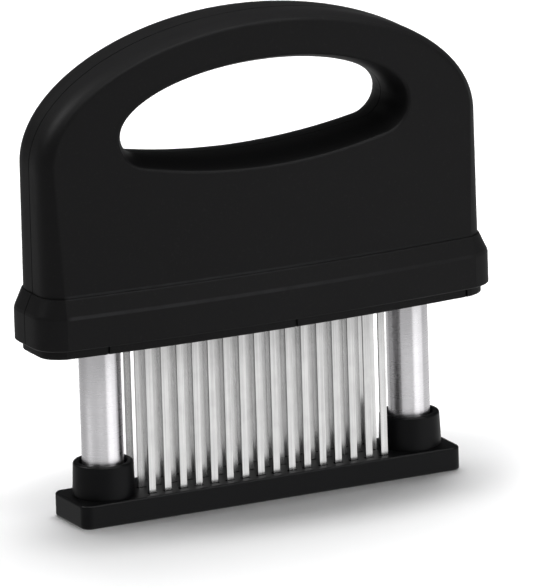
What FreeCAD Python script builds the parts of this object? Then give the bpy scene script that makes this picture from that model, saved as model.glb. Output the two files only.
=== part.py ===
import FreeCAD, Part
import math
import os

# Blade meat tenderizer. Millimetres, +Z up, the long way along X, the front face towards -Y.
# The origin is the centre of the base plate's underside.
# A base plate carries two guide tubes. The handle, which holds three rows of blades, slides
# down the tubes against the springs inside them and pushes the blades out below the plate.

Vector = FreeCAD.Vector

# ---- guide tubes ----
tube_diameter = 12.7
tube_wall = 1.0
tube_inset = 21.3
tube_fit = 0.05

# ---- base plate and its collars ----
plate_end_margin = 11.95
plate_side_margin = 3.8
plate_height = 7.4
plate_corner_radius = 3.0
plate_edge_radius = 0.8
collar_foot_diameter = 19.0
collar_top_diameter = 18.2
collar_height = 10.4
collar_rim_radius = 0.8
collar_mouth_gap = 0.9
collar_mouth_depth = 2.5
collar_mouth_chamfer = 0.3
tube_seat_height = 4.4
blade_slot_clearance = 0.4

# ---- blades ----
blade_width = 2.15
blade_thickness = 0.7
row_end_gap = 6.15
blades_per_row = 16
row_pitch = 7.4
blade_tip_height = 1.4
blade_tip_slant = 2.4
blade_head_width = 3.5
blade_head_height = 1.8

# ---- travel ----
rest_gap = 36.0
end_stop_clearance = 1.0
rest_stop_clearance = 0.3

# ---- housing band, the deep lower rim ----
cover_strip = 3.0
band_end_step = 3.0
band_side_step = 2.0
band_height = 10.1
band_end_drop = 7.5
band_wall = 2.2
band_shoulder_break = 0.5
band_foot_break = 0.35
face_bow = 3.17

# ---- housing body above the chamfer ----
chamfer_height = 5.6
chamfer_ledge = 0.45
body_half_length = 72.8
body_half_depth = 15.3
body_end_drop = 5.2
body_wall = 2.2
side_height = 38.3
side_lean = 0.1
arch_rise = 38.9
arch_side_drop = 6.3
arch_crown_drop = 1.2
arch_depth_step = 2.8
crown_power = 5
rim_break_radius = 1.4
seam_width = 0.3
seam_depth = 0.25

# ---- finger opening ----
opening_end_wall = 28.0
opening_lift = 7.9
opening_rise = 16.4
opening_fall = 10.95
opening_end_radius = 7.4
flare_end = 6.8
flare_top = 4.0
flare_bottom = 4.2
flare_end_radius = 3.9
flare_power = 2.5
opening_break_radius = 1.0

# ---- bottom cover ----
cover_gap = 0.15
cover_thickness = 4.5
cover_edge_radius = 0.55
cover_end_step = 0.3
cover_end_drop = 6.0
cover_shelf_gap = 0.1
cover_tongue_step = 0.2
cover_lip = 0.8
cover_lip_clearance = 0.35
cover_slot_clearance = 0.15
notch_width = 0.9
notch_depth = 0.8
notch_left_inset = 19.05
notch_middle = 7.1
notch_right_inset = 7.55

# ---- guide bushes and their towers ----
bush_wall = 1.4
bush_flange_thickness = 1.1
bush_running_clearance = 0.08
tower_wall = 1.3
tower_height = 3.6

# ---- stops at the tube's top ----
washer_thickness = 1.0
washer_diameter = 16.0
washer_clearance = 0.1
ring_thickness = 1.0
ring_diameter = 15.2
ring_groove_depth = 0.45
ring_gap = 3.0
tube_end_margin = 1.2

# ---- plugs, springs and posts ----
plug_length = 9.6
plug_fit = 0.05
plug_top_web = 1.0
spring_wire = 1.3
spring_outer_diameter = 9.7
spring_turns = 9
spring_wire_sides = 12
spring_clearance = 0.05
post_diameter = 9.0
post_head_diameter = 12.0
post_head_height = 2.4
post_entry = 2.0
seat_gap = 1.0
seat_web = 1.4
seat_half_width = 8.0
seat_cap = 1.6

# ---- blade carrier and clamp plate ----
carrier_height = 6.0
carrier_end_margin = 1.3
carrier_side_margin = 2.9
pocket_clearance = 0.05
clamp_thickness = 2.5
rib_gap = 0.1
rib_thickness = 1.8
rib_steps = (-7, -2, 2, 7)
rib_top_margin = 1.0

# ---- screws ----
base_screw_diameter = 4.0
base_screw_head_diameter = 7.5
base_screw_head_height = 2.2
base_screw_sink = 0.3
case_screw_diameter = 3.0
case_screw_head_diameter = 5.2
case_screw_head_height = 2.0
case_screw_sink = 3.0
case_screw_length = 15.0
foot_screw_inset = 9.2
foot_screw_height = 7.5
floor_screw_spread = 25.0
floor_screw_height = 19.5
shoulder_screw_inset = 15.2
shoulder_screw_height = 9.8
crown_screw_drop = 6.6
cover_screw_inset = 9.8
cover_screw_spread = 6.8
cover_screw_length = 10.0
cover_boss_height = 11.0
clamp_screw_diameter = 2.5
clamp_screw_head_diameter = 4.6
clamp_screw_head_height = 1.4
screw_hole_clearance = 0.2
screw_head_clearance = 0.25
thread_clearance = 0.05
boss_wall = 1.7
pocket_wall = 0.9
drive_diameter = 2.0
drive_depth = 0.9

# ---- lengths and depths that follow from the handle's body ----
band_half_length = body_half_length + band_end_step
band_half_depth = body_half_depth + band_side_step
arch_half_length = body_half_length - side_lean
arch_half_depth = body_half_depth - arch_depth_step
opening_half_length = body_half_length - opening_end_wall
tube_spacing = 2 * (body_half_length - tube_inset)
plate_length = tube_spacing + 2 * plate_end_margin
plate_depth = 2 * (row_pitch + plate_side_margin)
row_length = tube_spacing - tube_diameter - 2 * row_end_gap
blade_pitch = row_length / (blades_per_row - 1)

# ---- heights worked out from the sizes above ----
collar_top = plate_height + collar_height
cover_bottom = collar_top + rest_gap
travel = rest_gap - end_stop_clearance
band_bottom = cover_bottom + cover_strip
band_top = band_bottom + band_height
body_bottom = band_top + chamfer_height
springing = body_bottom + side_height
cover_top = cover_bottom + cover_thickness
tower_top = cover_top + tower_height
bush_top = tower_top + bush_flange_thickness
washer_bottom = bush_top + rest_stop_clearance
ring_bottom = washer_bottom + washer_thickness
tube_top = ring_bottom + ring_thickness + tube_end_margin
carrier_top = cover_top + carrier_height
clamp_top = carrier_top + clamp_thickness
plug_top = tube_seat_height + plug_length
spring_bottom = plug_top + spring_clearance
post_bottom = tube_top - post_entry
spring_top = post_bottom - spring_clearance
seat_bottom = tube_top + travel + seat_gap
post_shoulder = seat_bottom + seat_web
post_top = post_shoulder + post_head_height
opening_centre_height = springing + opening_lift
opening_floor = opening_centre_height - opening_fall
handle_top = springing + arch_rise

# ---- radii and half sizes worked out from the sizes above ----
tube_radius = tube_diameter / 2
tube_bore_radius = tube_radius - tube_wall
bush_bore_radius = tube_radius + bush_running_clearance
bush_radius = bush_bore_radius + bush_wall
tower_radius = bush_radius + tower_wall
case_pocket_radius = case_screw_head_diameter / 2 + screw_head_clearance
case_boss_radius = case_pocket_radius + pocket_wall
cover_boss_radius = case_screw_diameter / 2 + boss_wall
bow_half_length = body_half_length - body_end_drop
bow_radius = (bow_half_length ** 2 + face_bow ** 2) / (2 * face_bow)
face_lean = arch_depth_step / (handle_top - body_bottom)
cover_half_length = band_half_length - band_wall - cover_gap
cover_half_depth = band_half_depth - band_wall - cover_gap
carrier_half_length = row_length / 2 + blade_head_width / 2 + carrier_end_margin
carrier_half_depth = row_pitch + carrier_side_margin
tube_places = {"left": -tube_spacing / 2, "right": tube_spacing / 2}
row_places = {"front": -row_pitch, "middle": 0.0, "back": row_pitch}
loft_margin = 1.2
far = 400.0


# ---- small helpers ----

def cylinder(radius, low, high, x=0.0, y=0.0):
    """An upright cylinder between two heights."""
    return Part.makeCylinder(radius, high - low, Vector(x, y, low))


def ring(outer_radius, inner_radius, low, high, x=0.0, y=0.0):
    """An upright tube between two heights."""
    return cylinder(outer_radius, low, high, x, y).cut(cylinder(inner_radius, low - 1, high + 1, x, y))


def block(x_low, x_high, y_low, y_high, z_low, z_high):
    """A box between two corners."""
    size = (x_high - x_low, y_high - y_low, z_high - z_low)
    return Part.makeBox(size[0], size[1], size[2], Vector(x_low, y_low, z_low))


def row_xs():
    """The middle of every blade along one row."""
    return [-row_length / 2 + blade_pitch * index for index in range(blades_per_row)]


def slot_grid(clearance, low, high, width=blade_width):
    """One box around every blade, wider than the blade by the clearance on each side."""
    half_x = width / 2 + clearance
    half_y = blade_thickness / 2 + clearance
    boxes = []
    for y in row_places.values():
        for x in row_xs():
            boxes.append(block(x - half_x, x + half_x, y - half_y, y + half_y, low, high))
    return Part.makeCompound(boxes)


def pan_screw(diameter, length, head_diameter, head_height):
    """A pan-head screw along Z. The head stands on z = 0 and the shank hangs below it."""
    head = cylinder(head_diameter / 2, 0, head_height)
    head = head.makeFillet(head_height * 0.4, [edge_at_height(head, head_height)])
    shank = cylinder(diameter / 2, -length, 0.0)
    shank = shank.makeChamfer(diameter * 0.2, [edge_at_height(shank, -length)])
    cross = block(-drive_diameter, drive_diameter, -drive_diameter / 6, drive_diameter / 6,
                  head_height - drive_depth, head_height + 1)
    turned = cross.copy()
    turned.rotate(Vector(0, 0, 0), Vector(0, 0, 1), 90)
    room = cylinder(drive_diameter / 2, 0, head_height + 1)
    return head.fuse(shank).removeSplitter().cut(cross.fuse(turned).common(room))


def edge_at_height(shape, height):
    """The first closed round edge that lies at one height."""
    for edge in shape.Edges:
        box = edge.BoundBox
        if abs(box.ZMin - height) < 1e-6 and abs(box.ZMax - height) < 1e-6:
            return edge
    raise ValueError("no edge at this height")


def turned_screw(screw, axis, angle, place):
    """A copy of a screw, turned about the origin and then moved."""
    copy = screw.copy()
    copy.rotate(Vector(0, 0, 0), axis, angle)
    copy.translate(place)
    return copy


# ---- the handle's outer form, and the same form set in by a wall ----

def crown(y, half_depth):
    """How far the crowned rim has fallen at depth y, from 0 in the middle to 1 at the face."""
    return (abs(y) / half_depth) ** crown_power


def plan_wire(z, half_length, half_depth, end_drop):
    """A plan outline: bowed front and back, and crowned ends that meet them at a soft break."""
    corner_x = half_length - end_drop
    corner_y = half_depth - face_bow
    front = Part.Arc(Vector(-corner_x, -corner_y, z), Vector(0, -half_depth, z),
                     Vector(corner_x, -corner_y, z)).toShape()
    back = Part.Arc(Vector(corner_x, corner_y, z), Vector(0, half_depth, z),
                    Vector(-corner_x, corner_y, z)).toShape()
    steps = [-1, -0.92, -0.8, -0.62, -0.35, 0, 0.35, 0.62, 0.8, 0.92, 1]
    right_points = []
    left_points = []
    for step in steps:
        x = half_length - end_drop * crown(step, 1)
        right_points.append(Vector(x, step * corner_y, z))
        left_points.append(Vector(-x, -step * corner_y, z))
    right = Part.BSplineCurve()
    right.interpolate(right_points)
    left = Part.BSplineCurve()
    left.interpolate(left_points)
    return Part.Wire([front, right.toShape(), back, left.toShape()])


def plan_prism(low, high, half_length, half_depth, end_drop):
    """A plan outline extruded between two heights."""
    face = Part.Face(plan_wire(low, half_length, half_depth, end_drop))
    return face.extrude(Vector(0, 0, high - low))


def arch_wire(y, low, wall):
    """The arch's outline at depth y: leaning sides that run into half an ellipse."""
    depth = y * body_half_depth / (body_half_depth - wall)
    foot = body_half_length - wall - body_end_drop * crown(depth, body_half_depth - face_bow)
    across = arch_half_length - wall - arch_side_drop * crown(depth, body_half_depth - face_bow)
    rise = arch_rise - wall - arch_crown_drop * crown(depth, arch_half_depth)
    lean = foot / across
    fall = (springing - body_bottom) / rise
    start = math.acos(1 / math.hypot(lean, fall)) - math.atan2(fall, lean)
    tangent_x = across * math.cos(start)
    tangent_z = springing + rise * math.sin(start)
    slope = (foot - tangent_x) / (tangent_z - body_bottom)
    foot_x = tangent_x + slope * (tangent_z - low)
    ellipse = Part.Ellipse(Vector(across, y, springing), Vector(0, y, springing + rise),
                           Vector(0, y, springing))
    turn = ellipse.parameter(Vector(tangent_x, y, tangent_z))
    other = ellipse.parameter(Vector(-tangent_x, y, tangent_z))
    arch = Part.ArcOfEllipse(ellipse, min(turn, other), max(turn, other)).toShape()
    if arch.valueAt((arch.FirstParameter + arch.LastParameter) / 2).z < springing:
        arch = Part.ArcOfEllipse(ellipse, max(turn, other), min(turn, other) + 2 * math.pi).toShape()
    ends = sorted([arch.Vertexes[0].Point, arch.Vertexes[-1].Point], key=lambda point: point.x)
    left = Part.makeLine(Vector(-foot_x, y, low), ends[0])
    right = Part.makeLine(ends[1], Vector(foot_x, y, low))
    bottom = Part.makeLine(Vector(foot_x, y, low), Vector(-foot_x, y, low))
    return Part.Wire(Part.__sortEdges__([bottom, left, arch, right]))


def face_reach(x, z):
    """How far the bowed face stands from mid-depth: it leans in a little with height."""
    bow = bow_radius - math.sqrt(bow_radius ** 2 - x ** 2)
    return body_half_depth - face_lean * (z - body_bottom) - bow


def face_slab(low, high, wall):
    """The slab between the bowed front and back faces."""
    reach = body_half_length + band_half_depth
    wires = []
    for z in (low, high):
        middle = face_reach(0, z) - wall
        edge = face_reach(reach, z) - wall
        front = Part.Arc(Vector(-reach, -edge, z), Vector(0, -middle, z), Vector(reach, -edge, z))
        back = Part.Arc(Vector(reach, edge, z), Vector(0, middle, z), Vector(-reach, edge, z))
        right = Part.makeLine(Vector(reach, -edge, z), Vector(reach, edge, z))
        left = Part.makeLine(Vector(-reach, edge, z), Vector(-reach, -edge, z))
        wires.append(Part.Wire([front.toShape(), right, back.toShape(), left]))
    return Part.makeLoft(wires, True, True)


def arch_body(low, wall):
    """The crowned arch between its two faces, set in all round by a wall. The hollow is plainer."""
    outer = body_half_depth - wall + loft_margin
    depths = [outer * step for step in (-1, -0.9, -0.8, -0.68, -0.5, 0, 0.5, 0.68, 0.8, 0.9, 1)]
    wires = [arch_wire(depth, low, wall) for depth in depths]
    crowned = Part.makeLoft(wires, True, wall > 0)
    return crowned.common(face_slab(low - 1, handle_top + 2, wall))


def opening_wire(y, wall):
    """The finger opening's outline at depth y, drawn outwards by a wall."""
    spread = (abs(y) / body_half_depth) ** flare_power
    half_length = opening_half_length + flare_end * spread + wall
    rise = opening_rise + flare_top * spread + wall
    fall = opening_fall + flare_bottom * spread + wall
    end_radius = opening_end_radius + flare_end_radius * spread + wall
    centre_x = half_length - end_radius
    floor_radius = (centre_x ** 2 + fall ** 2 - end_radius ** 2) / (2 * (fall - end_radius))
    floor_z = opening_centre_height - fall + floor_radius
    reach = math.hypot(centre_x, floor_z - opening_centre_height)
    join_x = centre_x * floor_radius / reach
    join_z = floor_z - (floor_z - opening_centre_height) * floor_radius / reach
    side = math.atan2(join_z - opening_centre_height, join_x - centre_x) / 2
    side_x = centre_x + end_radius * math.cos(side)
    side_z = opening_centre_height + end_radius * math.sin(side)
    ellipse = Part.Ellipse(Vector(half_length, y, opening_centre_height),
                           Vector(0, y, opening_centre_height + rise),
                           Vector(0, y, opening_centre_height))
    roof = Part.ArcOfEllipse(ellipse, 0, math.pi).toShape()
    if roof.valueAt((roof.FirstParameter + roof.LastParameter) / 2).z < opening_centre_height:
        roof = Part.ArcOfEllipse(ellipse, math.pi, 2 * math.pi).toShape()
    right = Part.Arc(Vector(half_length, y, opening_centre_height), Vector(side_x, y, side_z),
                     Vector(join_x, y, join_z)).toShape()
    floor = Part.Arc(Vector(join_x, y, join_z), Vector(0, y, floor_z - floor_radius),
                     Vector(-join_x, y, join_z)).toShape()
    left = Part.Arc(Vector(-join_x, y, join_z), Vector(-side_x, y, side_z),
                    Vector(-half_length, y, opening_centre_height)).toShape()
    return Part.Wire(Part.__sortEdges__([roof, right, floor, left]))


def opening_core(wall):
    """The solid that fills the finger opening, flared towards both faces. In the hollow it is plainer."""
    outer = body_half_depth + loft_margin
    depths = [outer * step for step in (-1, -0.8, -0.6, -0.38, 0, 0.38, 0.6, 0.8, 1)]
    return Part.makeLoft([opening_wire(depth, wall) for depth in depths], True, wall > 0)


def rounded_body():
    """The solid arch with its finger opening cut and the breaks to both faces rounded."""
    solid = arch_body(band_top, 0.0)
    solid = solid.makeFillet(rim_break_radius, face_break_edges(solid, body_bottom))
    solid = solid.cut(opening_core(0.0))
    return solid.makeFillet(opening_break_radius, opening_break_edges(solid))


def face_break_edges(solid, low):
    """The edges where the crowned rim meets the front and back faces."""
    found = []
    for edge in solid.Edges:
        box = edge.BoundBox
        off_middle = min(abs(box.YMin), abs(box.YMax)) > body_half_depth / 3
        if off_middle and box.ZMax > low and box.YMin * box.YMax > 0:
            found.append(edge)
    return found


def opening_break_edges(solid):
    """The edges where the finger opening meets the front and back faces."""
    reach = opening_half_length + flare_end + 1
    ceiling = opening_centre_height + opening_rise + flare_top + 1
    found = []
    for edge in solid.Edges:
        box = edge.BoundBox
        inside = box.XMin > -reach and box.XMax < reach
        level = box.ZMin > opening_floor - flare_bottom - 1 and box.ZMax < ceiling
        on_face = min(abs(box.YMin), abs(box.YMax)) > body_half_depth / 2
        if inside and level and on_face and box.YMin * box.YMax > 0:
            found.append(edge)
    return found


def chamfer_wire(z):
    """The plan outline at one height of the chamfer between the band and the body."""
    part = (z - band_top) / chamfer_height
    length_step = body_half_length + chamfer_ledge - band_half_length
    depth_step = body_half_depth + chamfer_ledge - band_half_depth
    return plan_wire(z, band_half_length + part * length_step, band_half_depth + part * depth_step,
                     band_end_drop + part * (body_end_drop - band_end_drop))


def level_edges(solid, height):
    """The edges whose ends and middle lie at one height."""
    found = []
    for edge in solid.Edges:
        middle = edge.valueAt((edge.FirstParameter + edge.LastParameter) / 2)
        heights = [middle.z] + [vertex.Z for vertex in edge.Vertexes]
        if max(abs(z - height) for z in heights) < 1e-4:
            found.append(edge)
    return found


def housing_outside():
    """The whole handle as one closed form, before it is hollowed and split."""
    inset = band_foot_break
    wires = [plan_wire(band_bottom, band_half_length - inset, band_half_depth - inset, band_end_drop)]
    wires.append(plan_wire(band_bottom + inset, band_half_length, band_half_depth, band_end_drop))
    wires.append(plan_wire(band_top - band_shoulder_break, band_half_length, band_half_depth,
                           band_end_drop))
    wires.append(chamfer_wire(band_top + band_shoulder_break))
    wires.append(chamfer_wire(body_bottom))
    return Part.makeLoft(wires, True, True).fuse(rounded_body())


def housing_inside():
    """The hollow of the handle: the outer form set in by the wall, less a wall round the opening."""
    band_length = band_half_length - band_wall
    band_depth = band_half_depth - band_wall
    body_length = body_half_length - body_wall
    body_depth = body_half_depth - body_wall
    band = plan_prism(band_bottom - 1, band_top, band_length, band_depth, band_end_drop)
    foot = plan_wire(band_top, band_length, band_depth, band_end_drop)
    head = plan_wire(body_bottom, body_length, body_depth, body_end_drop)
    chamfer = Part.makeLoft([foot, head], True, True)
    body = arch_body(band_top, body_wall).cut(opening_core(body_wall))
    return band.fuse(chamfer).fuse(body)


def case_screw_places():
    """The screws that join the halves: feet, opening's floor, shoulders and crown, as (x, z)."""
    foot_x = body_half_length - foot_screw_inset
    foot_z = body_bottom + foot_screw_height
    floor_z = body_bottom + floor_screw_height
    shoulder_x = body_half_length - shoulder_screw_inset
    shoulder_z = springing + shoulder_screw_height
    places = [(0.0, handle_top - crown_screw_drop)]
    for side in (-1, 1):
        places.append((side * foot_x, foot_z))
        places.append((side * floor_screw_spread, floor_z))
        places.append((side * shoulder_x, shoulder_z))
    return places


def case_bosses():
    """One boss right through the handle at every screw that joins the two halves."""
    depth = 2 * body_half_depth
    bosses = []
    for x, z in case_screw_places():
        bosses.append(Part.makeCylinder(case_boss_radius, depth, Vector(x, -depth / 2, z), Vector(0, 1, 0)))
    return bosses


def cover_boss_places():
    """The four screws of the bottom cover."""
    x = band_half_length - cover_screw_inset
    return [(-x, -cover_screw_spread), (x, -cover_screw_spread), (-x, cover_screw_spread),
            (x, cover_screw_spread)]


def post_seats():
    """The shelf on each side that the spring post's head is caught in."""
    seats = []
    for x in tube_places.values():
        seats.append(block(x - seat_half_width, x + seat_half_width, -body_half_depth, body_half_depth,
                           seat_bottom, post_top + seat_cap))
    return seats


def press_ribs():
    """Cross ribs that reach down to the clamp plate and carry the hand's push to the blades."""
    top = opening_floor - rib_top_margin
    ribs = []
    for step in rib_steps:
        x = step * blade_pitch
        ribs.append(block(x - rib_thickness / 2, x + rib_thickness / 2, -body_half_depth,
                          body_half_depth, clamp_top + rib_gap, top))
    return ribs


def cover_bosses():
    """The bosses of the cover's screws, each with a web to the end wall."""
    top = cover_top + cover_boss_height
    half_web = rib_thickness / 2
    bosses = []
    for x, y in cover_boss_places():
        bosses.append(cylinder(cover_boss_radius, cover_top, top, x, y))
        end_x = math.copysign(band_half_length, x)
        bosses.append(block(min(x, end_x), max(x, end_x), y - half_web, y + half_web, cover_top, top))
    return bosses


def parting_groove():
    """The fine groove where the halves meet: over the crown, down both ends and round the opening."""
    across = Vector(0, seam_width, 0)
    y = -seam_width / 2
    band_x = band_half_length - seam_depth
    body_x = body_half_length + chamfer_ledge - seam_depth
    outline = [(-band_x, band_bottom), (band_x, band_bottom), (band_x, band_top), (body_x, body_bottom),
               (-body_x, body_bottom), (-band_x, band_top), (-band_x, band_bottom)]
    foot = Part.Face(Part.makePolygon([Vector(x, y, z) for x, z in outline])).extrude(across)
    body = Part.Face(arch_wire(y, band_top, seam_depth)).extrude(across)
    reach = band_half_length + 1
    slab = block(-reach, reach, y, -y, band_bottom, handle_top + 1)
    throat = Part.Face(opening_wire(y, seam_depth)).extrude(across)
    return [slab.cut(foot).cut(body), throat]


def housing():
    """The hollow handle, both halves in one, with its bosses, seats, ribs and parting groove."""
    stiff = case_bosses() + post_seats() + press_ribs() + cover_bosses()
    shell = housing_outside().cut(housing_inside().cut(stiff))
    drills = []
    for x in tube_places.values():
        drills.append(cylinder(post_diameter / 2 + screw_hole_clearance, seat_bottom - 1, post_top, x))
        drills.append(cylinder(post_head_diameter / 2 + screw_hole_clearance,
                               post_shoulder, post_top, x))
    for x, y in cover_boss_places():
        drills.append(cylinder(case_screw_diameter / 2 + thread_clearance, cover_top - 1,
                               cover_bottom + case_screw_head_height + cover_screw_length + 1, x, y))
    return shell.cut(drills + parting_groove())


def housing_half(shell, side):
    """One half of the handle: side -1 is the front, side 1 the back."""
    low = -far if side < 0 else 0.0
    half = shell.common(block(-far, far, low, low + far, -far, far))
    pilot = case_screw_diameter / 2 + thread_clearance
    through = case_screw_diameter / 2 + screw_hole_clearance
    drills = []
    for x, z in case_screw_places():
        seat = face_reach(x, z) - case_screw_sink
        if side < 0:
            depth = case_screw_length - seat + 1
            drills.append(Part.makeCylinder(pilot, depth, Vector(x, 0, z), Vector(0, -1, 0)))
        else:
            drills.append(Part.makeCylinder(through, far, Vector(x, 0, z), Vector(0, 1, 0)))
            drills.append(Part.makeCylinder(case_pocket_radius, far, Vector(x, seat, z),
                                            Vector(0, 1, 0)))
    return half.cut(drills)


# ---- the base ----

def base_plate():
    """The plate with two collars, tube sockets, screw counterbores and a slot for every blade."""
    plate = block(-plate_length / 2, plate_length / 2, -plate_depth / 2, plate_depth / 2, 0, plate_height)
    upright = [edge for edge in plate.Edges if abs(edge.BoundBox.ZLength - plate_height) < 1e-6]
    plate = plate.makeFillet(plate_corner_radius, upright)
    rim = [edge for edge in plate.Edges if edge.BoundBox.ZLength < 1e-6]
    plate = plate.makeFillet(plate_edge_radius, rim)
    mouth = tube_radius + tube_fit
    wide_mouth = mouth + collar_mouth_gap
    for x in tube_places.values():
        collar = Part.makeCone(collar_foot_diameter / 2, collar_top_diameter / 2, collar_height,
                               Vector(x, 0, plate_height))
        collar = collar.makeFillet(collar_rim_radius, [edge_at_height(collar, collar_top)])
        plate = plate.fuse(collar)
    for x in tube_places.values():
        plate = plate.cut(cylinder(mouth, tube_seat_height, far, x))
        plate = plate.cut(cylinder(wide_mouth, collar_top - collar_mouth_depth, far, x))
        plate = plate.cut(Part.makeCone(wide_mouth, wide_mouth + collar_mouth_chamfer,
                                        collar_mouth_chamfer,
                                        Vector(x, 0, collar_top - collar_mouth_chamfer)))
        plate = plate.cut(cylinder(base_screw_diameter / 2 + screw_hole_clearance, -1, far, x))
        plate = plate.cut(cylinder(base_screw_head_diameter / 2 + screw_head_clearance, -1,
                                   base_screw_sink + base_screw_head_height, x))
    return plate.cut(slot_grid(blade_slot_clearance, -1, plate_height + 1))


def guide_tube(x):
    """One tube, with the groove for its retaining ring."""
    tube = ring(tube_radius, tube_bore_radius, tube_seat_height, tube_top, x)
    groove = ring(tube_radius + 1, tube_radius - ring_groove_depth, ring_bottom,
                  ring_bottom + ring_thickness, x)
    return tube.cut(groove)


def tube_plug(x):
    """The plug in the tube's foot, which takes the screw and carries the spring."""
    plug = cylinder(tube_bore_radius - plug_fit, tube_seat_height, plug_top, x)
    return plug.cut(cylinder(base_screw_diameter / 2 + thread_clearance, 0, plug_top - plug_top_web, x))


def stop_washer(x):
    """The washer that meets the guide bush when the handle is up."""
    return ring(washer_diameter / 2, tube_radius + washer_clearance, washer_bottom, ring_bottom, x)


def retaining_ring(x):
    """An open ring that sits in the tube's groove and holds the washer down."""
    full = ring(ring_diameter / 2, tube_radius - ring_groove_depth, ring_bottom,
                ring_bottom + ring_thickness, x)
    return full.cut(block(x - ring_gap / 2, x + ring_gap / 2, 0, ring_diameter, ring_bottom - 1, far))


def spring(x):
    """A compression spring inside the tube, with its ends ground flat. Its wire is many-sided."""
    mean_radius = (spring_outer_diameter - spring_wire) / 2
    length = spring_top - spring_bottom
    pitch = length / spring_turns
    helix = Part.makeHelix(pitch, length, mean_radius)
    rise = math.atan2(pitch, 2 * math.pi * mean_radius)
    outwards = Vector(1, 0, 0)
    across = Vector(0, -math.sin(rise), math.cos(rise))
    corners = []
    for index in range(spring_wire_sides + 1):
        turn = 2 * math.pi * (index + 0.5) / spring_wire_sides
        corner = outwards * math.cos(turn) + across * math.sin(turn)
        corners.append(outwards * mean_radius + corner * (spring_wire / 2))
    coil = Part.Wire(helix.Edges).makePipeShell([Part.makePolygon(corners)], True, True)
    coil.translate(Vector(x, 0, spring_bottom))
    return coil.common(cylinder(spring_outer_diameter, spring_bottom, spring_top, x))


def base_screws():
    """The two screws that hold the plugs, and so the tubes, to the plate."""
    length = plug_top - plug_top_web - base_screw_sink - base_screw_head_height - 1
    screw = pan_screw(base_screw_diameter, length, base_screw_head_diameter, base_screw_head_height)
    height = base_screw_sink + base_screw_head_height
    places = tube_places.values()
    return Part.makeCompound([turned_screw(screw, Vector(1, 0, 0), 180, Vector(x, 0, height))
                              for x in places])


# ---- the blades and what holds them ----

def blade(x, y):
    """One flat blade with a wider head at its top and a slanted tip."""
    half = blade_width / 2
    half_head = blade_head_width / 2
    shoulder = carrier_top - blade_head_height
    outline = [(-half, blade_tip_height), (half, blade_tip_height + blade_tip_slant),
               (half, shoulder), (half_head, shoulder), (half_head, carrier_top),
               (-half_head, carrier_top), (-half_head, shoulder), (-half, shoulder)]
    points = [Vector(x + side, y - blade_thickness / 2, z) for side, z in outline]
    wire = Part.makePolygon(points + points[:1])
    return Part.Face(wire).extrude(Vector(0, blade_thickness, 0))


def blade_row(y):
    """One row of blades."""
    return Part.makeCompound([blade(x, y) for x in row_xs()])


def clamp_screw_places():
    """Four screws between the blade rows, a third of the row's length from the middle."""
    x = row_length / 3
    y = row_pitch / 2
    return [(-x, -y), (-x, y), (x, -y), (x, y)]


def blade_carrier():
    """The block that the blades hang in, with a pocket for every blade head."""
    carrier = block(-carrier_half_length, carrier_half_length, -carrier_half_depth, carrier_half_depth,
                    cover_top, carrier_top)
    carrier = carrier.cut(slot_grid(pocket_clearance, 0, far))
    carrier = carrier.cut(slot_grid(pocket_clearance, carrier_top - blade_head_height, far,
                                    blade_head_width))
    for x, y in clamp_screw_places():
        carrier = carrier.cut(cylinder(clamp_screw_diameter / 2 + thread_clearance, 0, far, x, y))
    return carrier


def blade_clamp_plate():
    """The plate that closes the pockets over the blade heads."""
    plate = block(-carrier_half_length, carrier_half_length, -carrier_half_depth, carrier_half_depth,
                  carrier_top, clamp_top)
    for x, y in clamp_screw_places():
        plate = plate.cut(cylinder(clamp_screw_diameter / 2 + screw_hole_clearance, 0, far, x, y))
    return plate


def clamp_screws():
    """The screws that draw the clamp plate to the carrier."""
    length = clamp_thickness + carrier_height - 1
    screw = pan_screw(clamp_screw_diameter, length, clamp_screw_head_diameter, clamp_screw_head_height)
    screws = []
    for x, y in clamp_screw_places():
        screws.append(turned_screw(screw, Vector(0, 0, 1), 0, Vector(x, y, clamp_top)))
    return Part.makeCompound(screws)


# ---- the handle's cover and guides ----

def cover_notches():
    """Short upright notches in the cover's edge, the same on both sides by half a turn."""
    notches = []
    places = (notch_left_inset - cover_half_length, notch_middle, cover_half_length - notch_right_inset)
    for x in places:
        for side in (-1, 1):
            face = face_reach(x, body_bottom) - body_half_depth + cover_half_depth
            place = -side * x
            low = side * face - notch_depth
            notches.append(block(place - notch_width / 2, place + notch_width / 2, low,
                                 low + 2 * notch_depth, cover_bottom - 1, band_bottom))
    return Part.makeCompound(notches)


def bottom_cover():
    """The cover under the handle: blade slots, two towers for the guide bushes and four screws."""
    shelf = band_bottom - cover_shelf_gap
    strip = plan_prism(cover_bottom, shelf, cover_half_length + cover_end_step, cover_half_depth,
                       cover_end_drop)
    strip = strip.makeFillet(cover_edge_radius, level_edges(strip, cover_bottom))
    tongue = plan_prism(cover_bottom + cover_edge_radius, cover_top,
                        cover_half_length - cover_tongue_step, cover_half_depth - cover_tongue_step,
                        band_end_drop)
    cover = strip.fuse(tongue)
    for x in tube_places.values():
        cover = cover.fuse(cylinder(tower_radius, cover_top - 1, tower_top, x))
    for x in tube_places.values():
        cover = cover.cut(cylinder(tube_radius + cover_lip_clearance, 0, far, x))
        cover = cover.cut(cylinder(bush_radius + tube_fit, cover_bottom + cover_lip, far, x))
    for x, y in cover_boss_places():
        cover = cover.cut(cylinder(case_screw_diameter / 2 + screw_hole_clearance, 0, far, x, y))
        cover = cover.cut(cylinder(case_screw_head_diameter / 2 + screw_head_clearance, 0,
                                   cover_bottom + case_screw_head_height, x, y))
    cover = cover.cut(slot_grid(cover_slot_clearance, 0, far))
    return cover.cut(cover_notches())


def guide_bush(x):
    """The flanged bush that the tube slides in."""
    sleeve = ring(bush_radius, bush_bore_radius, cover_bottom + cover_lip, tower_top, x)
    flange = ring(tower_radius, bush_bore_radius, tower_top, bush_top, x)
    return sleeve.fuse(flange).removeSplitter()


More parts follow.
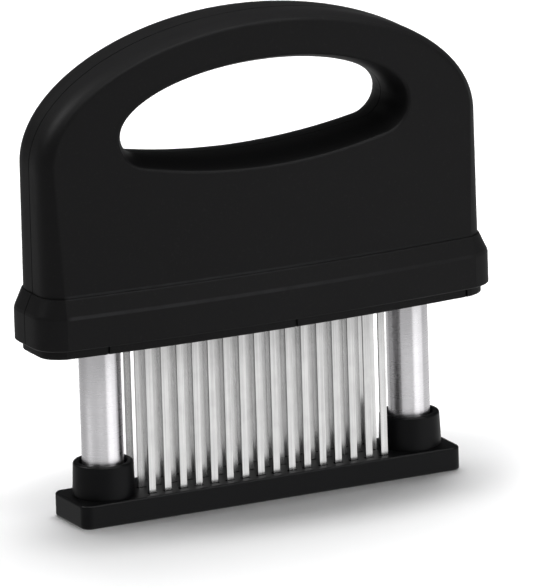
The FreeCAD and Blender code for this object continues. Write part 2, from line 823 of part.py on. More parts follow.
def spring_post(x):
    """The post that hangs from the handle and reaches into the tube's mouth."""
    shank = cylinder(post_diameter / 2, post_bottom, post_shoulder, x)
    shank = shank.makeChamfer(post_diameter / 12, [edge_at_height(shank, post_bottom)])
    head = cylinder(post_head_diameter / 2, post_shoulder, post_top, x)
    return shank.fuse(head)


def housing_screws():
    """The screws that join the two halves, driven from the back."""
    screw = pan_screw(case_screw_diameter, case_screw_length, case_screw_head_diameter,
                      case_screw_head_height)
    screws = []
    for x, z in case_screw_places():
        seat = face_reach(x, z) - case_screw_sink
        screws.append(turned_screw(screw, Vector(1, 0, 0), -90, Vector(x, seat, z)))
    return Part.makeCompound(screws)


def cover_screws():
    """The screws that hold the bottom cover, driven from below."""
    screw = pan_screw(case_screw_diameter, cover_screw_length, case_screw_head_diameter,
                      case_screw_head_height)
    height = cover_bottom + case_screw_head_height
    screws = []
    for x, y in cover_boss_places():
        screws.append(turned_screw(screw, Vector(1, 0, 0), 180, Vector(x, y, height)))
    return Part.makeCompound(screws)


# ---- all the nodes ----

def build():
    """Every node by name."""
    shell = housing()
    parts = {
        "base_plate": base_plate(),
        "base_screws": base_screws(),
        "housing_front": housing_half(shell, -1),
        "housing_back": housing_half(shell, 1),
        "bottom_cover": bottom_cover(),
        "blade_carrier": blade_carrier(),
        "blade_clamp_plate": blade_clamp_plate(),
        "clamp_screws": clamp_screws(),
        "housing_screws": housing_screws(),
        "cover_screws": cover_screws(),
    }
    for name, y in row_places.items():
        parts["blade_row_" + name] = blade_row(y)
    for name, x in tube_places.items():
        parts["guide_tube_" + name] = guide_tube(x)
        parts["tube_plug_" + name] = tube_plug(x)
        parts["stop_washer_" + name] = stop_washer(x)
        parts["retaining_ring_" + name] = retaining_ring(x)
        parts["spring_" + name] = spring(x)
        parts["guide_bush_" + name] = guide_bush(x)
        parts["spring_post_" + name] = spring_post(x)
    return parts


def main():
    """Write one STEP file for every node."""
    os.makedirs("parts", exist_ok=True)
    for name, shape in build().items():
        shape.exportStep("parts/" + name + ".step")
        print(name, len(shape.Solids), "solids", shape.isValid(), round(shape.Volume, 1))


main()
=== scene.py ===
import logging
import math
from dataclasses import dataclass
from enum import Enum

import bpy
import numpy as np
from mathutils import Matrix, Vector


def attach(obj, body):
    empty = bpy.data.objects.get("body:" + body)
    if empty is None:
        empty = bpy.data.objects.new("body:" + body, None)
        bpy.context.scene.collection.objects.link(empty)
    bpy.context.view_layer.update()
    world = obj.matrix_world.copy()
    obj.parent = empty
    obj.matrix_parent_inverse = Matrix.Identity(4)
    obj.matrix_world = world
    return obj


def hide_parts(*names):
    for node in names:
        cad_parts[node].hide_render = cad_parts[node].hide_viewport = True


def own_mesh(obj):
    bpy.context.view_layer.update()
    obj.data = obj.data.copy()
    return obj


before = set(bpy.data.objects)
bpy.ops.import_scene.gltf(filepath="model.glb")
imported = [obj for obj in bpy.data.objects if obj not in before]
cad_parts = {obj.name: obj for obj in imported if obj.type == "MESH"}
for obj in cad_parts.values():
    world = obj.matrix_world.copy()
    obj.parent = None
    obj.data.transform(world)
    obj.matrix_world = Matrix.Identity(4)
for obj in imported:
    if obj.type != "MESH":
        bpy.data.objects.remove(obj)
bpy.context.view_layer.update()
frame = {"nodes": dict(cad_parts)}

log = logging.getLogger("tenderizer")
Socket = bpy.types.NodeSocket
MM = 0.001

# Scales of the noises, in waves per metre.
SHEEN_SCALE = 38.0
DUST_SCALE = 1300.0
LINE_BREAK_SCALE = 160.0
PATCH_SCALE = 170.0
# Where dust starts and is full, as levels of its noise.
DUST_LEVELS = (0.58, 0.8)
# Where a painted highlight line fades out, in shares of its reach and of its half length.
LINE_CORE = (0.35, 1.0)
LINE_ENDS = (0.97, 1.0)
# Where along its half length a painted highlight line weakens, and its strength past that.
LINE_FADING = (-0.5, 0.9)
LINE_FAR_LEVEL = 0.25
# Where a noise breaks up a painted highlight line, as levels of that noise, and its strength at the
# low one.
LINE_BREAK_LEVELS = (0.25, 0.6)
LINE_BROKEN_LEVEL = 0.6
# The soft borders of the painted shade in a recess: round the oval, behind the face and above the
# oval's middle.
OVAL_RIM = (0.95, 1.05)
RECESS_DEPTHS = (0.4 * MM, 1.8 * MM)
RECESS_HEIGHTS = (0.0, 9.0 * MM)
# The heights between which metal darkens towards the handle: painted shade.
PAINTED_SHADE_HEIGHTS = (37.0 * MM, 56.0 * MM)


# ---------------------------------------------------------------- shader helpers

class Links:
    """Adds shader nodes to one tree and joins them."""

    def __init__(self, tree: bpy.types.NodeTree) -> None:
        """Keeps the tree that the nodes go into."""
        self.tree = tree

    def add(self, kind: str, **values: object) -> bpy.types.Node:
        """Adds one node.

        Args:
            kind: the node's type, such as "ShaderNodeTexNoise".
            values: attributes of the node.

        Returns:
            The new node.
        """
        node = self.tree.nodes.new(kind)
        for name, value in values.items():
            setattr(node, name, value)
        return node

    def join(self, source: Socket, target: Socket) -> None:
        """Joins an output to an input."""
        self.tree.links.new(source, target)

    def feed(self, target: Socket, value: object) -> None:
        """Joins a socket, or sets a plain value, on an input."""
        if isinstance(value, Socket):
            self.join(value, target)
        else:
            target.default_value = value

    def math(self, operation: str, first: object, second: object = 0.0) -> Socket:
        """Works out one sum of two numbers or sockets.

        Args:
            operation: Blender's name of the operation.
            first: a number or a socket.
            second: a number or a socket.

        Returns:
            The result's socket.
        """
        node = self.add("ShaderNodeMath", operation=operation)
        self.feed(node.inputs[0], first)
        self.feed(node.inputs[1], second)
        return node.outputs[0]

    def vector_math(self, operation: str, first: object, second: object = None) -> bpy.types.Node:
        """Adds one sum of two vectors and returns its node."""
        node = self.add("ShaderNodeVectorMath", operation=operation)
        self.feed(node.inputs[0], first)
        if second is not None:
            self.feed(node.inputs[1], second)
        return node

    def object_place(self) -> Socket:
        """Adds the object coordinates and returns their socket."""
        return self.add("ShaderNodeTexCoord").outputs["Object"]

    def parts(self, vector: Socket) -> bpy.types.NodeOutputs:
        """Splits a vector and returns the sockets X, Y and Z."""
        node = self.add("ShaderNodeSeparateXYZ")
        self.join(vector, node.inputs[0])
        return node.outputs

    def noise(self, place: Socket, scale: object, detail: float) -> Socket:
        """Adds a noise pattern on the coordinates and returns its value socket."""
        node = self.add("ShaderNodeTexNoise")
        self.join(place, node.inputs["Vector"])
        self.feed(node.inputs["Scale"], scale)
        node.inputs["Detail"].default_value = detail
        return node.outputs["Fac"]

    def blend(self, mask: Socket, colour: object, other: tuple[float, float, float]) -> Socket:
        """Mixes another colour over a colour by a mask.

        Args:
            mask: the mask's socket.
            colour: the colour under it, a socket or plain numbers.
            other: the colour where the mask is 1.

        Returns:
            The mixed colour's socket.
        """
        node = self.add("ShaderNodeMix", data_type="RGBA")
        self.join(mask, node.inputs["Factor"])
        self.feed(node.inputs["A"], colour)
        node.inputs["B"].default_value = (*other, 1.0)
        return node.outputs["Result"]

    def group(self, tree: bpy.types.NodeTree, values: dict[str, float]) -> bpy.types.NodeOutputs:
        """Places a node group.

        Args:
            tree: the group.
            values: the inputs that differ from the group's defaults, by name.

        Returns:
            The group's output sockets.
        """
        node = self.add("ShaderNodeGroup", node_tree=tree)
        for name, value in values.items():
            node.inputs[name].default_value = value
        return node.outputs

    def spread(self, value: Socket, low: object, high: object) -> Socket:
        """Maps a value from 0..1 to low..high and returns the socket."""
        node = self.add("ShaderNodeMapRange")
        self.join(value, node.inputs["Value"])
        self.feed(node.inputs["To Min"], low)
        self.feed(node.inputs["To Max"], high)
        return node.outputs["Result"]

    def smooth(self, value: Socket, stretch: tuple[float, float],
               levels: tuple[object, object]) -> Socket:
        """Eases from one level to another while a value crosses a stretch.

        Args:
            value: the value's socket.
            stretch: where the stretch starts and ends.
            levels: the levels, numbers or sockets, at its start and its end.

        Returns:
            The eased level's socket.
        """
        node = self.add("ShaderNodeMapRange", interpolation_type="SMOOTHSTEP")
        self.join(value, node.inputs["Value"])
        node.inputs["From Min"].default_value, node.inputs["From Max"].default_value = stretch
        self.feed(node.inputs["To Min"], levels[0])
        self.feed(node.inputs["To Max"], levels[1])
        return node.outputs["Result"]


def new_group(
    name: str, inputs: dict[str, float], outputs: tuple[str, ...]
) -> tuple[Links, bpy.types.NodeOutputs, bpy.types.NodeInputs]:
    """Starts a shader node group with number inputs and outputs.

    Args:
        name: the group's name.
        inputs: each input's name and default number.
        outputs: each output's name.

    Returns:
        The tree's helper, the sockets that the group is given and the sockets that it fills.
    """
    number = "NodeSocketFloat"
    tree = bpy.data.node_groups.new(name, "ShaderNodeTree")
    for label, value in inputs.items():
        socket = tree.interface.new_socket(name=label, in_out="INPUT", socket_type=number)
        socket.default_value = value
    for label in outputs:
        tree.interface.new_socket(name=label, in_out="OUTPUT", socket_type=number)
    links = Links(tree)
    entry = links.add("NodeGroupInput")
    leave = links.add("NodeGroupOutput")
    return links, entry.outputs, leave.inputs


def gloss_range(links: Links, given: bpy.types.NodeOutputs, pattern: Socket) -> Socket:
    """Spreads a pattern over the roughnesses from Gloss - Variation to Gloss + Variation."""
    low = links.math("SUBTRACT", given["Gloss"], given["Variation"])
    high = links.math("ADD", given["Gloss"], given["Variation"])
    return links.spread(pattern, low, high)


def moulded_grain_group() -> bpy.types.NodeTree:
    """Builds the fine spark-eroded grain of a moulded plastic, with slow changes in its gloss.

    Returns:
        The node group. Height is the grain's relief, Rough the roughness and Dust the specks' mask.
    """
    links, given, out = new_group(
        "moulded_grain", {"Grain Scale": 2600.0, "Gloss": 0.45, "Variation": 0.06},
        ("Height", "Rough", "Dust"))
    place = links.object_place()
    links.join(links.noise(place, given["Grain Scale"], detail=3.0), out["Height"])
    sheen = links.noise(place, SHEEN_SCALE, detail=4.0)
    links.join(gloss_range(links, given, sheen), out["Rough"])
    dust = links.add("ShaderNodeMapRange")
    links.join(links.noise(place, DUST_SCALE, detail=3.0), dust.inputs["Value"])
    dust.inputs["From Min"].default_value, dust.inputs["From Max"].default_value = DUST_LEVELS
    links.join(dust.outputs["Result"], out["Dust"])
    return links.tree


def painted_highlight_line_group() -> bpy.types.NodeTree:
    """Builds a painted highlight line along one level corner of a moulding, front and back.

    The line is full near its height and fades out at its reach. It stops short of both ends, is
    weaker towards +X, and a slow noise breaks it up; all of it is painted highlight.

    Returns:
        The node group. Mask is the line's strength.
    """
    links, given, out = new_group(
        "painted_highlight_line", {"Height": 70.0 * MM, "Reach": 0.8 * MM, "Half Length": 68.5 * MM}, ("Mask",))
    place = links.object_place()
    parts = links.parts(place)
    away = links.math("ABSOLUTE", links.math("SUBTRACT", parts["Z"], given["Height"]))
    line = links.smooth(links.math("DIVIDE", away, given["Reach"]), LINE_CORE, (1.0, 0.0))
    along = links.math("DIVIDE", parts["X"], given["Half Length"])
    ends = links.smooth(links.math("ABSOLUTE", along), LINE_ENDS, (1.0, 0.0))
    fading = links.smooth(along, LINE_FADING, (1.0, LINE_FAR_LEVEL))
    breakup = links.noise(place, LINE_BREAK_SCALE, detail=3.0)
    broken = links.smooth(breakup, LINE_BREAK_LEVELS, (LINE_BROKEN_LEVEL, 1.0))
    whole = links.math("MULTIPLY", line, ends)
    links.join(links.math("MULTIPLY", whole, links.math("MULTIPLY", fading, broken)), out["Mask"])
    return links.tree


def recess_shade_group() -> bpy.types.NodeTree:
    """Builds a darker band on the sill of an opening: painted shade inside its hollow.

    It lies inside an oval round the opening, below its middle and behind the faces. A face's
    distance from mid-depth falls evenly with height and with the square of X.

    Returns:
        The node group. Mask is the band's strength.
    """
    links, given, out = new_group(
        "recess_shade", {"Height": 118.7 * MM, "Half Length": 58.0 * MM, "Half Height": 26.0 * MM,
                   "Face": 13.62 * MM, "Lean": 0.0363, "Bow": 0.597}, ("Mask",))
    parts = links.parts(links.object_place())
    above = links.math("SUBTRACT", parts["Z"], given["Height"])
    oval = links.add("ShaderNodeCombineXYZ")
    links.join(links.math("DIVIDE", parts["X"], given["Half Length"]), oval.inputs["X"])
    links.join(links.math("DIVIDE", above, given["Half Height"]), oval.inputs["Y"])
    away = links.vector_math("LENGTH", oval.outputs[0]).outputs["Value"]
    inside = links.smooth(away, OVAL_RIM, (1.0, 0.0))
    bow = links.math("MULTIPLY", links.math("POWER", parts["X"], 2.0), given["Bow"])
    lean = links.math("MULTIPLY", above, given["Lean"])
    face = links.math("SUBTRACT", given["Face"], links.math("ADD", bow, lean))
    depth = links.math("SUBTRACT", face, links.math("ABSOLUTE", parts["Y"]))
    behind = links.smooth(depth, RECESS_DEPTHS, (0.0, 1.0))
    low = links.smooth(above, RECESS_HEIGHTS, (1.0, 0.0))
    links.join(links.math("MULTIPLY", links.math("MULTIPLY", inside, behind), low), out["Mask"])
    return links.tree


def drawn_lines_and_shade_group() -> bpy.types.NodeTree:
    """Builds the fine lines that drawing, grinding and polishing leave on metal.

    A noise is squeezed across the lines and stretched along them: small Along runs them up Z, small
    Across runs them round it. A second, slow noise changes the metal's tone from place to place.
    The last input darkens the stretch under the handle through Tone: painted shade, standing in
    for the handle keeping light off the metal.

    Returns:
        The node group. Height is the lines' relief, Rough the roughness and Tone a factor near 1.
    """
    links, given, out = new_group(
        "drawn_lines_and_shade", {"Line Scale": 2200.0, "Across": 1.0, "Along": 0.012, "Gloss": 0.3,
                        "Variation": 0.05, "Streak": 0.1, "Patch": 0.05, "Fade": 0.0},
        ("Height", "Rough", "Tone"))
    place = links.object_place()
    shape = links.add("ShaderNodeCombineXYZ")
    for axis, label in zip("XYZ", ("Across", "Across", "Along")):
        links.join(given[label], shape.inputs[axis])
    stretched = links.vector_math("MULTIPLY", place, shape.outputs[0]).outputs[0]
    lines = links.noise(stretched, given["Line Scale"], detail=4.0)
    links.join(lines, out["Height"])
    links.join(gloss_range(links, given, lines), out["Rough"])
    streaks = links.math("MULTIPLY", links.math("SUBTRACT", lines, 0.5), given["Streak"])
    slow = links.noise(place, PATCH_SCALE, detail=2.0)
    patches = links.math("MULTIPLY", links.math("SUBTRACT", slow, 0.5), given["Patch"])
    tone = links.math("ADD", 1.0, links.math("ADD", streaks, patches))
    # Painted shade: the tone darkens towards the handle.
    shaded_level = links.math("SUBTRACT", 1.0, given["Fade"])
    shade_factor = links.smooth(links.parts(place)["Z"], PAINTED_SHADE_HEIGHTS, (1.0, shaded_level))
    links.join(links.math("MULTIPLY", tone, shade_factor), out["Tone"])
    return links.tree


class Effects:
    """The shader groups that the finishes share, built once."""

    def __init__(self) -> None:
        """Builds every group."""
        self.grain = moulded_grain_group()
        self.edge = painted_highlight_line_group()
        self.recess_shade = recess_shade_group()
        self.lines = drawn_lines_and_shade_group()


def blank_material(name: str) -> tuple[bpy.types.Material, Links, bpy.types.Node]:
    """Starts a material with only a Principled BSDF and its output.

    Args:
        name: the material's name.

    Returns:
        The material, its tree's helper and the Principled BSDF.
    """
    material = bpy.data.materials.new(name)
    material.use_nodes = True
    tree = material.node_tree
    tree.nodes.clear()
    links = Links(tree)
    surface = links.add("ShaderNodeBsdfPrincipled")
    output = links.add("ShaderNodeOutputMaterial")
    links.join(surface.outputs["BSDF"], output.inputs["Surface"])
    return material, links, surface


def relief(links: Links, surface: bpy.types.Node, height: Socket, depth: float) -> None:
    """Feeds a relief of a depth in metres to the surface's normal."""
    bump = links.add("ShaderNodeBump")
    bump.inputs["Strength"].default_value = 1.0
    bump.inputs["Distance"].default_value = depth
    links.join(height, bump.inputs["Height"])
    links.join(bump.outputs["Normal"], surface.inputs["Normal"])


# ---------------------------------------------------------------- finishes

@dataclass(frozen=True)
class MouldedPlastic:
    """A moulded plastic with a fine grain."""

    name: str
    colour: tuple[float, float, float]
    dust_colour: tuple[float, float, float]
    gloss: float = 0.45
    variation: float = 0.05
    specular: float = 0.3
    grain_scale: float = 2600.0
    grain_depth: float = 0.00002
    dust: float = 0.15
    # Light lines along level corners, and their colour: painted highlight.
    highlight_heights: tuple[float, ...] = ()
    highlight_colour: tuple[float, float, float] = (0.043, 0.043, 0.045)
    # A darker colour in an opening's sill: painted shade.
    recess_shade_colour: tuple[float, float, float] | None = None

    def material(self, effects: Effects) -> bpy.types.Material:
        """Builds the material from the shared grain.

        Args:
            effects: the shared shader groups.

        Returns:
            The material.
        """
        material, links, surface = blank_material(self.name)
        grain = links.group(effects.grain, {
            "Grain Scale": self.grain_scale, "Gloss": self.gloss, "Variation": self.variation})
        specks = links.math("MULTIPLY", grain["Dust"], self.dust)
        colour = links.blend(specks, (*self.colour, 1.0), self.dust_colour)
        # Painted highlight lines along level corners.
        for height in self.highlight_heights:
            highlight_mask = links.group(effects.edge, {"Height": height})["Mask"]
            colour = links.blend(highlight_mask, colour, self.highlight_colour)
        # Painted shade in the opening's sill.
        if self.recess_shade_colour:
            recess_shade_mask = links.group(effects.recess_shade, {})["Mask"]
            colour = links.blend(recess_shade_mask, colour, self.recess_shade_colour)
        links.join(colour, surface.inputs["Base Color"])
        links.join(grain["Rough"], surface.inputs["Roughness"])
        surface.inputs["Specular IOR Level"].default_value = self.specular
        relief(links, surface, grain["Height"], self.grain_depth)
        return material


@dataclass(frozen=True)
class DrawnMetal:
    """A metal with fine lines, up Z or, where it is ground round, about Z."""

    name: str
    colour: tuple[float, float, float]
    gloss: float = 0.25
    variation: float = 0.05
    line_scale: float = 2200.0
    line_depth: float = 0.000004
    across: float = 1.0
    along: float = 0.012
    streak: float = 0.2
    patch: float = 0.1
    # Painted shade: how much darker the metal gets towards the handle.
    fade: float = 0.0
    anisotropy: float = 0.0
    turn: float = 0.0

    def material(self, effects: Effects) -> bpy.types.Material:
        """Builds the material from the shared lines.

        Args:
            effects: the shared shader groups.

        Returns:
            The material.
        """
        material, links, surface = blank_material(self.name)
        lines = links.group(effects.lines, {
            "Line Scale": self.line_scale, "Across": self.across, "Along": self.along,
            "Gloss": self.gloss, "Variation": self.variation, "Streak": self.streak,
            "Patch": self.patch, "Fade": self.fade})
        tinted = links.vector_math("SCALE", self.colour)
        links.join(lines["Tone"], tinted.inputs["Scale"])
        links.join(tinted.outputs[0], surface.inputs["Base Color"])
        surface.inputs["Metallic"].default_value = 1.0
        surface.inputs["Anisotropic"].default_value = self.anisotropy
        surface.inputs["Anisotropic Rotation"].default_value = self.turn
        links.join(lines["Rough"], surface.inputs["Roughness"])
        relief(links, surface, lines["Height"], self.line_depth)
        return material


HOUSING = MouldedPlastic("housing_black", (0.0145, 0.0143, 0.0148), (0.038, 0.038, 0.039),
                         specular=0.085, gloss=0.5, dust=0.3,
                         # painted highlight lines at these two corner heights
                         highlight_heights=(66.9 * MM, 72.8 * MM),
                         # painted shade in the opening's sill
                         recess_shade_colour=(0.0042, 0.0042, 0.0046))
BASE = MouldedPlastic("base_black", (0.0085, 0.0087, 0.0096), (0.02, 0.02, 0.022),
                      gloss=0.4, specular=0.1)
INNER = MouldedPlastic("inner_black", (0.02, 0.02, 0.021), (0.04, 0.04, 0.04), gloss=0.5)
BUSH = MouldedPlastic("bush_natural", (0.62, 0.61, 0.56), (0.5, 0.49, 0.45), gloss=0.35)
# fade on the blades and the tubes is painted shade under the handle.
BLADES = DrawnMetal("blade_polished", (0.55, 0.548, 0.546), gloss=0.26, variation=0.04,
                    line_scale=1500.0, streak=0.6, patch=0.25, fade=0.27)
TUBES = DrawnMetal("tube_satin", (0.84, 0.828, 0.85), gloss=0.28, variation=0.03, line_scale=3000.0,
                   line_depth=0.000003, across=0.02, along=1.0, streak=0.12, patch=0.12, fade=0.22,
                   anisotropy=0.92, turn=0.25)
SPRINGS = DrawnMetal("spring_wire", (0.45, 0.45, 0.46), gloss=0.32)
ZINC = DrawnMetal("screw_zinc", (0.58, 0.58, 0.6), gloss=0.35)

NODE_FINISHES: dict[str, MouldedPlastic | DrawnMetal] = {
    "housing": HOUSING, "bottom_cover": HOUSING, "base_plate": BASE, "blade_row": BLADES,
    "guide_tube": TUBES, "spring_post": INNER, "spring": SPRINGS, "base_screws": ZINC,
    "housing_screws": ZINC, "cover_screws": ZINC, "clamp_screws": ZINC, "stop_washer": ZINC,
    "retaining_ring": SPRINGS, "tube_plug": INNER, "guide_bush": BUSH,
    "blade_carrier": INNER, "blade_clamp": INNER,
}


# ---------------------------------------------------------------- the studio

@dataclass(frozen=True)
class Softbox:
    """One soft lamp on a sphere round the object."""

    name: str
    azimuth: float
    elevation: float
    width: float
    height: float
    level: float
    distance: float = 1.2
    mirrored: bool = True
    lighting: bool = True

    def build(self, target: Vector) -> None:
        """Makes the lamp, as bright as its level on its face, and turns it to the target."""
        lamp = bpy.data.lights.new(self.name, "AREA")
        lamp.shape = "RECTANGLE"
        lamp.size = self.width
        lamp.size_y = self.height
        lamp.energy = self.level * math.pi * self.width * self.height
        obj = bpy.data.objects.new(self.name, lamp)
        bpy.context.scene.collection.objects.link(obj)
        away = direction(self.azimuth, self.elevation)
        obj.location = target + away * self.distance
        obj.rotation_euler = away.to_track_quat("Z", "Y").to_euler()
        obj.visible_glossy = self.mirrored
        obj.visible_diffuse = self.lighting


def direction(azimuth: float, elevation: float) -> Vector:
    """Gives the unit vector towards a bearing: azimuth 0 is -Y and 90 is +X, in degrees."""
    turn, rise = math.radians(azimuth), math.radians(elevation)
    level = math.cos(rise)
    return Vector((math.sin(turn) * level, -math.cos(turn) * level, math.sin(rise)))


@dataclass(frozen=True)
class Camera:
    """A long-lens camera, aimed by bearing and roll."""

    azimuth: float = -26.03
    elevation: float = 14.98
    roll: float = -1.725
    distance: float = 4.0
    lens: float = 816.8
    sensor: float = 36.0
    far_end: float = 100.0
    aim: tuple[float, float, float] = (0.0, 0.0, 0.085)
    aim_right: float = 0.004863
    aim_up: float = -0.022474

    def build(self) -> None:
        """Makes the camera: its centre line passes the aim, moved along the view's own axes."""
        away = direction(self.azimuth, self.elevation)
        bearing = math.radians(self.azimuth)
        level = Vector((math.cos(bearing), math.sin(bearing), 0.0))
        upright = away.cross(level)
        roll = math.radians(self.roll)
        right = level * math.cos(roll) + upright * math.sin(roll)
        up = upright * math.cos(roll) - level * math.sin(roll)
        centre = Vector(self.aim) + right * self.aim_right + up * self.aim_up
        data = bpy.data.cameras.new("camera")
        data.lens = self.lens
        data.sensor_width = self.sensor
        data.clip_end = self.far_end
        obj = bpy.data.objects.new("camera", data)
        bpy.context.scene.collection.objects.link(obj)
        turn = Matrix((right, up, away)).transposed()
        obj.matrix_world = Matrix.Translation(centre + away * self.distance) @ turn.to_4x4()
        bpy.context.scene.camera = obj


LAMPS = (
    Softbox("back_softbox", 152.0, 66.0, 0.8, 0.7, 7.5, mirrored=False),
    Softbox("top_softbox", 20.0, 82.0, 0.9, 0.9, 0.72),
    Softbox("front_softbox", 24.0, 14.0, 0.42, 0.9, 2.15, mirrored=False),
    Softbox("front_glint", 27.0, 27.0, 0.5, 0.5, 3.6, lighting=False),
    Softbox("left_softbox", -88.0, 26.0, 0.6, 0.7, 0.12),
    Softbox("shoulder_glint", -116.0, 44.0, 0.45, 0.4, 18.0, lighting=False),
    Softbox("rim_strip", 5.0, 60.0, 1.6, 0.35, 8.0, lighting=False),
)


@dataclass(frozen=True)
class Studio:
    """The floor, the white surroundings, the lamps and the camera.

    A level of 1 renders as white. The shade is an oval on the floor, with its centre and reach
    in metres and its fade in shares of the reach. The lobe is a round patch of the surroundings,
    with its centre, azimuth and elevation, and its outer and inner radius in degrees. The side
    stretch is in cosines of the angle from that centre, the horizon in sines of elevation.
    """

    lamps: tuple[Softbox, ...] = LAMPS
    lamp_target: tuple[float, float, float] = (0.0, 0.0, 0.075)
    floor_low: tuple[float, float] = (-3.0, -0.24)
    floor_high: tuple[float, float] = (3.0, 4.0)
    floor_colour: tuple[float, float, float] = (0.9, 0.9, 0.905)
    shade_centre: tuple[float, float, float] = (0.006, 0.011, 0.0)
    shade_reach: tuple[float, float, float] = (0.0877, 0.05, 1.0)
    shade_fade: tuple[float, float] = (0.624, 1.352)
    near_lift: float = 0.017
    far_lift: float = 0.477
    back_level: float = 0.5
    side_level: float = 0.72
    side_stretch: tuple[float, float] = (-0.95, -0.4)
    lobe_level: float = 1.32
    lobe_centre: tuple[float, float] = (34.0, -15.0)
    lobe_angles: tuple[float, float] = (32.0, 27.0)
    around_level: float = 0.05
    horizon: tuple[float, float] = (-0.04, 0.04)

    def build(self) -> None:
        """Makes the whole studio."""
        self.floor()
        self.surroundings()
        for lamp in self.lamps:
            lamp.build(Vector(self.lamp_target))
        Camera().build()
        bpy.context.scene.view_settings.view_transform = "Standard"

    def floor(self) -> None:
        """Makes the pale floor.

        It ends in front, so that the handle's face stays dark. Polished metal sees the surroundings
        through it, which are as pale below the horizon as the floor is.
        """
        (x0, y0), (x1, y1) = self.floor_low, self.floor_high
        mesh = bpy.data.meshes.new("floor")
        mesh.from_pydata([(x0, y0, 0), (x1, y0, 0), (x1, y1, 0), (x0, y1, 0)], [], [(0, 1, 2, 3)])
        mesh.materials.append(self.floor_material())
        floor = bpy.data.objects.new("floor", mesh)
        bpy.context.scene.collection.objects.link(floor)
        floor.visible_glossy = False

    def floor_material(self) -> bpy.types.Material:
        """Builds the floor's paint, with its own light to the camera on top."""
        material = bpy.data.materials.new("floor_white")
        material.use_nodes = True
        tree = material.node_tree
        tree.nodes.clear()
        links = Links(tree)
        paint = links.add("ShaderNodeBsdfDiffuse")
        paint.inputs["Color"].default_value = (*self.floor_colour, 1.0)
        glow = links.add("ShaderNodeEmission")
        path = links.add("ShaderNodeLightPath")
        seen = links.math("MULTIPLY", path.outputs["Is Camera Ray"], self.lift(links))
        links.join(seen, glow.inputs["Strength"])
        both = links.add("ShaderNodeAddShader")
        links.join(paint.outputs[0], both.inputs[0])
        links.join(glow.outputs[0], both.inputs[1])
        output = links.add("ShaderNodeOutputMaterial")
        links.join(both.outputs[0], output.inputs["Surface"])
        return material

    def lift(self, links: Links) -> Socket:
        """Gives the floor's own light: little in an oval round the foot, more outside it."""
        shifted = links.vector_math("SUBTRACT", links.object_place(), self.shade_centre)
        scaled = links.vector_math("DIVIDE", shifted.outputs[0], self.shade_reach)
        away = links.vector_math("LENGTH", scaled.outputs[0]).outputs["Value"]
        return links.smooth(away, self.shade_fade, (self.near_lift, self.far_lift))

    def surroundings(self) -> None:
        """Makes the world: white to the camera, pale below in reflections, dim for the rest."""
        world = bpy.data.worlds.new("studio")
        bpy.context.scene.world = world
        world.use_nodes = True
        tree = world.node_tree
        tree.nodes.clear()
        links = Links(tree)
        path = links.add("ShaderNodeLightPath")
        place = links.add("ShaderNodeTexCoord").outputs["Generated"]
        reflected = self.mirrored(links, place)
        level = links.spread(path.outputs["Is Glossy Ray"], self.around_level, reflected)
        back = links.add("ShaderNodeBackground")
        back.inputs["Color"].default_value = (1.0, 1.0, 1.0, 1.0)
        links.join(links.spread(path.outputs["Is Camera Ray"], level, 1.0), back.inputs["Strength"])
        output = links.add("ShaderNodeOutputWorld")
        links.join(back.outputs[0], output.inputs["Surface"])

    def mirrored(self, links: Links, place: Socket) -> Socket:
        """Gives the level that reflections see in one direction of the world.

        Args:
            links: the world tree's helper.
            place: the direction's socket.

        Returns:
            The level: dim above the horizon, pale below it, with a brighter lobe in front.
        """
        centre = direction(*self.lobe_centre)
        towards = links.vector_math("DOT_PRODUCT", place, centre).outputs["Value"]
        outer, inner = (math.cos(math.radians(angle)) for angle in self.lobe_angles)
        side = links.smooth(towards, self.side_stretch, (self.back_level, self.side_level))
        lobe = links.smooth(towards, (outer, inner), (side, self.lobe_level))
        return links.smooth(links.parts(place)["Z"], self.horizon, (lobe, self.around_level))


# ---------------------------------------------------------------- the springs

class Side(Enum):
    """The two ends of the object, each with its sign along X."""

    LEFT = -1
    RIGHT = 1

    @property
    def label(self) -> str:
        """Gives the word that ends the node names of this side."""
        return self.name.lower()


def grid_faces(rows: int, columns: int) -> np.ndarray:
    """Lists the four-sided faces of a sheet whose columns close into a tube.

    Args:
        rows: how many rings of vertices follow each other.
        columns: how many vertices one ring has.

    Returns:
        An array of vertex numbers, one row for each face.
    """
    ring, step = np.meshgrid(np.arange(rows - 1), np.arange(columns), indexing="ij")
    beside = (step + 1) % columns
    here, above = ring * columns, (ring + 1) * columns
    corners = [here + step, here + beside, above + beside, above + step]
    return np.stack(corners, axis=-1).reshape(-1, 4)


def mesh_object(name: str, points: np.ndarray, faces: list[list[int]]) -> bpy.types.Object:
    """Makes a smooth mesh object at the origin.

    Args:
        name: the object's name.
        points: the vertices in metres, one row each.
        faces: the vertex numbers of every face.

    Returns:
        The object, linked to the scene.
    """
    mesh = bpy.data.meshes.new(name)
    mesh.from_pydata(points.tolist(), [], faces)
    mesh.polygons.foreach_set("use_smooth", np.ones(len(mesh.polygons), dtype=bool))
    mesh.validate()
    mesh.update()
    obj = bpy.data.objects.new(name, mesh)
    bpy.context.scene.collection.objects.link(obj)
    return obj


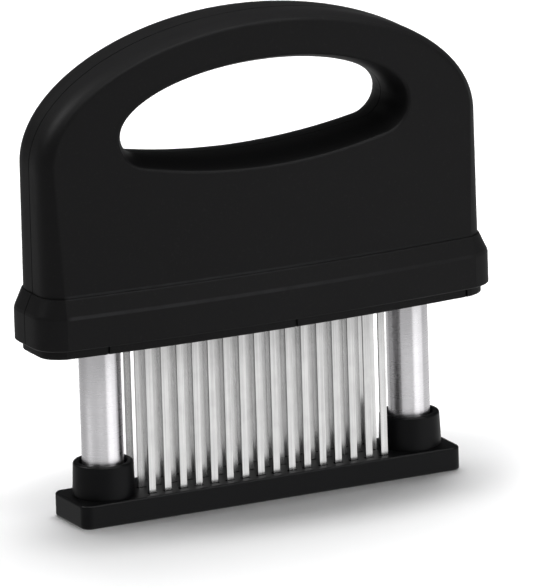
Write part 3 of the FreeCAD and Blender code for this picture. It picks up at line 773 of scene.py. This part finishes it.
@dataclass(frozen=True)
class CoilSpring:
    """A compression spring with one closed turn at each end."""

    side: Side
    centre_x: float = 51.5 * MM
    foot: float = 14.05 * MM
    head: float = 64.45 * MM
    coil_radius: float = 4.2 * MM
    wire_radius: float = 0.65 * MM
    turns: float = 10.0
    closed_turns: float = 1.0
    travel: float = 35.0 * MM
    steps_per_turn: int = 48
    wire_sides: int = 16

    def centre_line(self) -> tuple[np.ndarray, np.ndarray]:
        """Works out the wire's centre line.

        The turn runs evenly. The height climbs one wire thickness in each closed turn and evenly in
        the open turns between, eased where the two meet.

        Returns:
            The angle and the height at every step.
        """
        turn = np.linspace(0.0, self.turns, int(self.turns * self.steps_per_turn) + 1)
        low, high = self.foot + self.wire_radius, self.head - self.wire_radius
        flat = 2 * self.wire_radius * self.closed_turns
        ends = [0.0, self.closed_turns, self.turns - self.closed_turns, self.turns]
        height = np.interp(turn, ends, [low, low + flat, high - flat, high])
        ease = np.ones(self.steps_per_turn // 4 + 1)
        padded = np.pad(height, len(ease) // 2, mode="edge")
        eased = np.convolve(padded, ease / ease.sum(), mode="valid")
        return turn * 2 * np.pi, np.clip(eased[:len(turn)], low, high)

    def points(self) -> np.ndarray:
        """Sweeps the wire's round section along the centre line.

        Each ring lies across the wire: its two directions are straight out from the axis, and the
        one square to both that and the wire's own direction.

        Returns:
            The vertices, ring after ring.
        """
        angle, height = self.centre_line()
        outwards = np.stack([np.cos(angle), np.sin(angle), np.zeros_like(angle)], axis=1)
        centre = outwards * self.coil_radius
        centre[:, 0] += self.side.value * self.centre_x
        centre[:, 2] = height
        along = np.gradient(centre, axis=0)
        along /= np.linalg.norm(along, axis=1, keepdims=True)
        across = np.cross(along, outwards)
        around = np.linspace(0.0, 2 * np.pi, self.wire_sides, endpoint=False)
        rim = (outwards[:, None, :] * np.cos(around)[None, :, None]
               + across[:, None, :] * np.sin(around)[None, :, None]) * self.wire_radius
        points = centre[:, None, :] + rim
        points[..., 2] = np.clip(points[..., 2], self.foot, self.head)
        return points.reshape(-1, 3)

    def build(self) -> bpy.types.Object:
        """Makes the spring in place of its solid and fixes it to the base.

        Returns:
            The spring's object.
        """
        points = self.points()
        rings = len(points) // self.wire_sides
        faces = grid_faces(rings, self.wire_sides).tolist()
        last = (rings - 1) * self.wire_sides
        faces.append(list(range(self.wire_sides))[::-1])
        faces.append(list(range(last, last + self.wire_sides)))
        obj = mesh_object("coil_" + self.side.label, points, faces)
        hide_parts("spring_" + self.side.label)
        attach(obj, "base")
        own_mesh(obj)
        return obj


# ---------------------------------------------------------------- dressing the solids

class Dresser:
    """Gives every solid of the frame its finish."""

    def __init__(self, effects: Effects) -> None:
        """Builds each finish's material once."""
        finishes = dict.fromkeys(NODE_FINISHES.values())
        self.materials = {finish: finish.material(effects) for finish in finishes}

    def dress(self, obj: bpy.types.Object, finish: MouldedPlastic | DrawnMetal) -> None:
        """Puts one finish on one object."""
        obj.data.materials.clear()
        obj.data.materials.append(self.materials[finish])

    def dress_frame(self, nodes: dict[str, bpy.types.Object]) -> None:
        """Dresses each solid by the start of its name, the longest start first."""
        starts = sorted(NODE_FINISHES, key=len, reverse=True)
        for name, obj in nodes.items():
            start = next(key for key in starts if name.startswith(key))
            self.dress(obj, NODE_FINISHES[start])
            log.info("%s dressed as %s", name, NODE_FINISHES[start].name)


def main() -> None:
    """Builds the scene in order."""
    logging.basicConfig(level=logging.INFO)
    effects = Effects()
    dresser = Dresser(effects)
    dresser.dress_frame(frame["nodes"])
    for side in Side:
        dresser.dress(CoilSpring(side).build(), SPRINGS)
    Studio().build()


if __name__ == "__main__":
    main()
